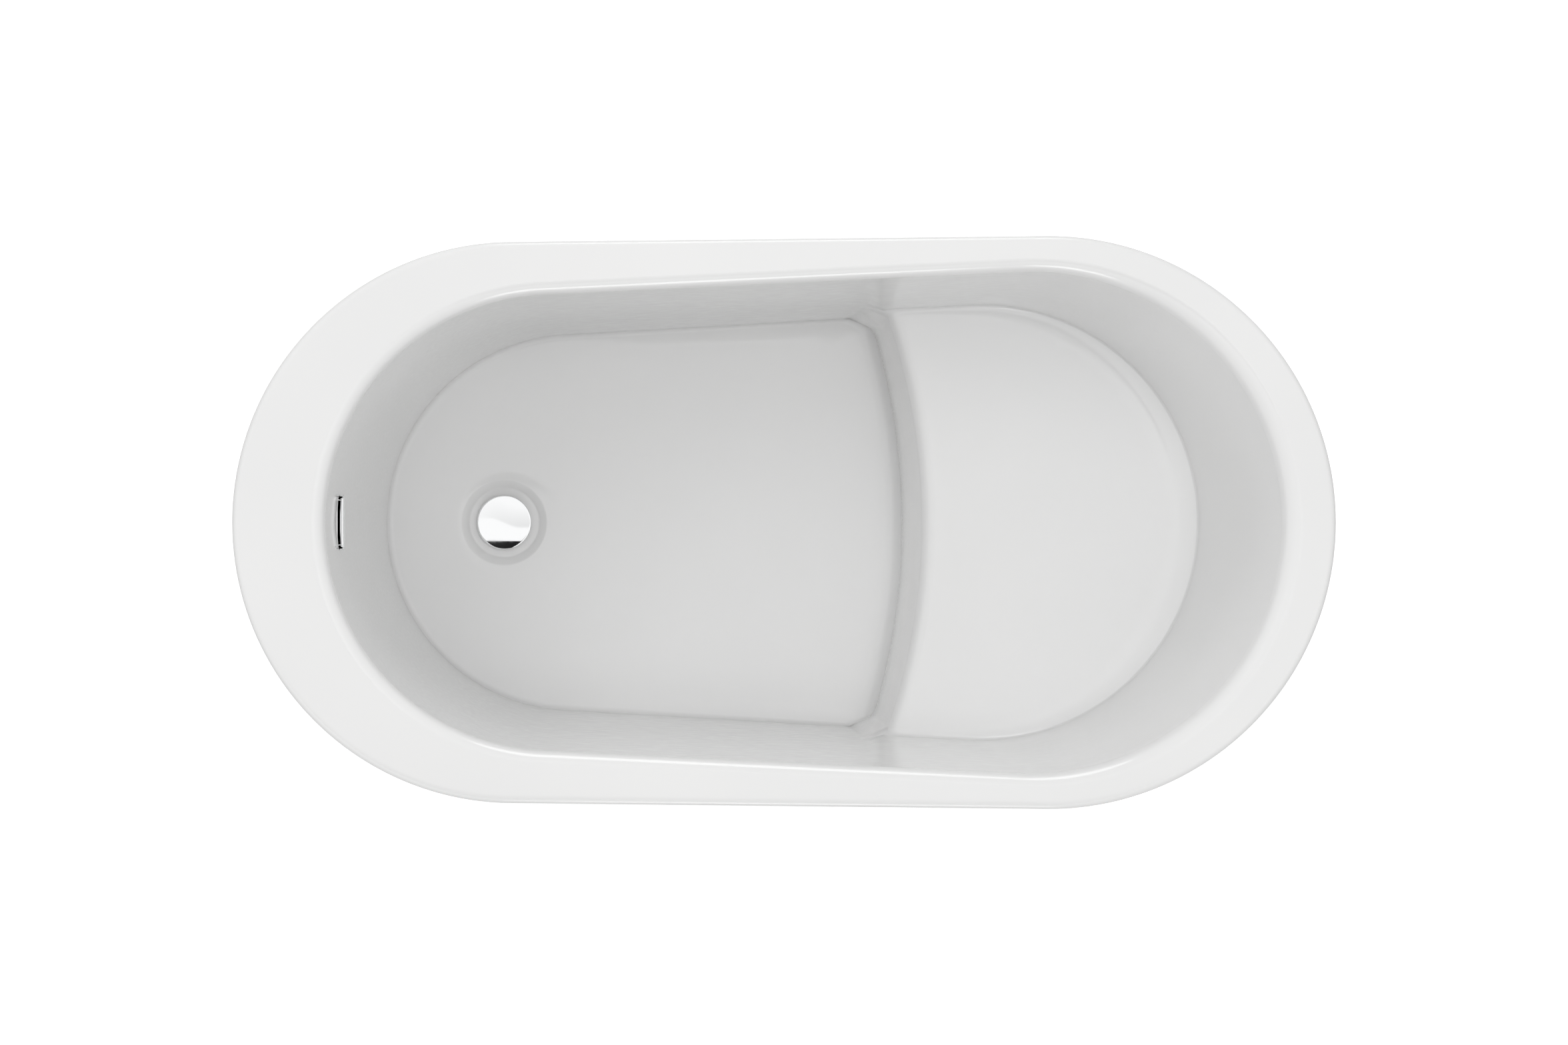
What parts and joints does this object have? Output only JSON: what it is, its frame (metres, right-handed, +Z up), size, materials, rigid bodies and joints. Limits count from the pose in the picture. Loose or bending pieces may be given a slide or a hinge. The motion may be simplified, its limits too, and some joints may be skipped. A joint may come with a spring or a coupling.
{
  "type": "soaking bathtub",
  "caption": "Deep free-standing oval soaking tub with a moulded-in seat, a push plug drain, a slot overflow and levelling feet under a skirt.",
  "frame": {"origin": "on the room floor, under the middle of the rim", "axes": "+X along the tub towards the seat end, +Y across it, +Z up"},
  "size_m": [1.4, 0.727, 0.66],
  "materials": {
    "acrylic": "polished white acrylic",
    "board": "bare particle board",
    "frame_steel": "satin black powder coat",
    "zinc_steel": "bright zinc plating",
    "chrome": "polished chrome",
    "black_rubber": "soft black rubber",
    "grey_foam": "grey foam",
    "pipe_plastic": "white moulded plastic",
    "hose_plastic": "grey flexible plastic"
  },
  "bodies": {
    "tub": {"basin": "acrylic", "skirt": "acrylic", "base_board": "board", "seat_board": "board", "rail_left": "frame_steel", "rail_right": "frame_steel", "cross_bar_drain": "frame_steel", "cross_bar_middle": "frame_steel", "cross_bar_seat": "frame_steel", "seat_post_drain_left": "frame_steel", "seat_post_drain_right": "frame_steel", "seat_post_seat_left": "frame_steel", "seat_post_seat_right": "frame_steel", "weld_nuts": "zinc_steel", "base_screws": "zinc_steel", "seat_screws": "zinc_steel", "skirt_bracket_drain_left": "frame_steel", "skirt_bracket_drain_right": "frame_steel", "skirt_bracket_seat_left": "frame_steel", "skirt_bracket_seat_right": "frame_steel", "bracket_screws": "zinc_steel", "waste_flange": "chrome", "upper_washer": "grey_foam", "lower_washer": "black_rubber", "waste_body": "pipe_plastic", "cartridge": "chrome", "tailpiece": "pipe_plastic", "slip_nut": "pipe_plastic", "slip_washer": "black_rubber", "overflow_trim": "chrome", "overflow_washer": "grey_foam", "overflow_body": "pipe_plastic", "overflow_hose": "hose_plastic", "hose_nut_upper": "pipe_plastic", "hose_nut_lower": "pipe_plastic"},
    "plug": {"plug_cap": "chrome", "plug_stem": "chrome", "plug_seal": "black_rubber"},
    "foot_drain_left": {"foot_pad_drain_left": "black_rubber"},
    "stud_drain_left": {"foot_stud_drain_left": "zinc_steel", "lock_nut_drain_left": "zinc_steel"},
    "foot_drain_right": {"foot_pad_drain_right": "black_rubber"},
    "stud_drain_right": {"foot_stud_drain_right": "zinc_steel", "lock_nut_drain_right": "zinc_steel"},
    "foot_seat_left": {"foot_pad_seat_left": "black_rubber"},
    "stud_seat_left": {"foot_stud_seat_left": "zinc_steel", "lock_nut_seat_left": "zinc_steel"},
    "foot_seat_right": {"foot_pad_seat_right": "black_rubber"},
    "stud_seat_right": {"foot_stud_seat_right": "zinc_steel", "lock_nut_seat_right": "zinc_steel"}
  },
  "joints": [
    {"name": "plug_lift", "type": "slide", "parent": "tub", "child": "plug", "axis": [0, 0, 1], "range_m": [0, 0.01]},
    {"name": "foot_height_drain_left", "type": "slide", "parent": "tub", "child": "foot_drain_left", "axis": [0, 0, -1], "range_m": [-0.01, 0.015]},
    {"name": "stud_turn_drain_left", "type": "hinge", "parent": "foot_drain_left", "child": "stud_drain_left", "pos_m": [-0.44, 0.17, 0.04], "axis": [0, 0, 1], "range_deg": [-3088, 2060]},
    {"name": "foot_height_drain_right", "type": "slide", "parent": "tub", "child": "foot_drain_right", "axis": [0, 0, -1], "range_m": [-0.01, 0.015]},
    {"name": "stud_turn_drain_right", "type": "hinge", "parent": "foot_drain_right", "child": "stud_drain_right", "pos_m": [-0.44, -0.17, 0.04], "axis": [0, 0, 1], "range_deg": [-3088, 2060]},
    {"name": "foot_height_seat_left", "type": "slide", "parent": "tub", "child": "foot_seat_left", "axis": [0, 0, -1], "range_m": [-0.01, 0.015]},
    {"name": "stud_turn_seat_left", "type": "hinge", "parent": "foot_seat_left", "child": "stud_seat_left", "pos_m": [0.49, 0.17, 0.04], "axis": [0, 0, 1], "range_deg": [-3088, 2060]},
    {"name": "foot_height_seat_right", "type": "slide", "parent": "tub", "child": "foot_seat_right", "axis": [0, 0, -1], "range_m": [-0.01, 0.015]},
    {"name": "stud_turn_seat_right", "type": "hinge", "parent": "foot_seat_right", "child": "stud_seat_right", "pos_m": [0.49, -0.17, 0.04], "axis": [0, 0, 1], "range_deg": [-3088, 2060]}
  ],
  "couplings": [
    {"joint": "stud_turn_drain_left", "follows": "foot_height_drain_left", "rad_per_m": -3590.4},
    {"joint": "stud_turn_drain_right", "follows": "foot_height_drain_right", "rad_per_m": -3590.4},
    {"joint": "stud_turn_seat_left", "follows": "foot_height_seat_left", "rad_per_m": -3590.4},
    {"joint": "stud_turn_seat_right", "follows": "foot_height_seat_right", "rad_per_m": -3590.4}
  ]
}
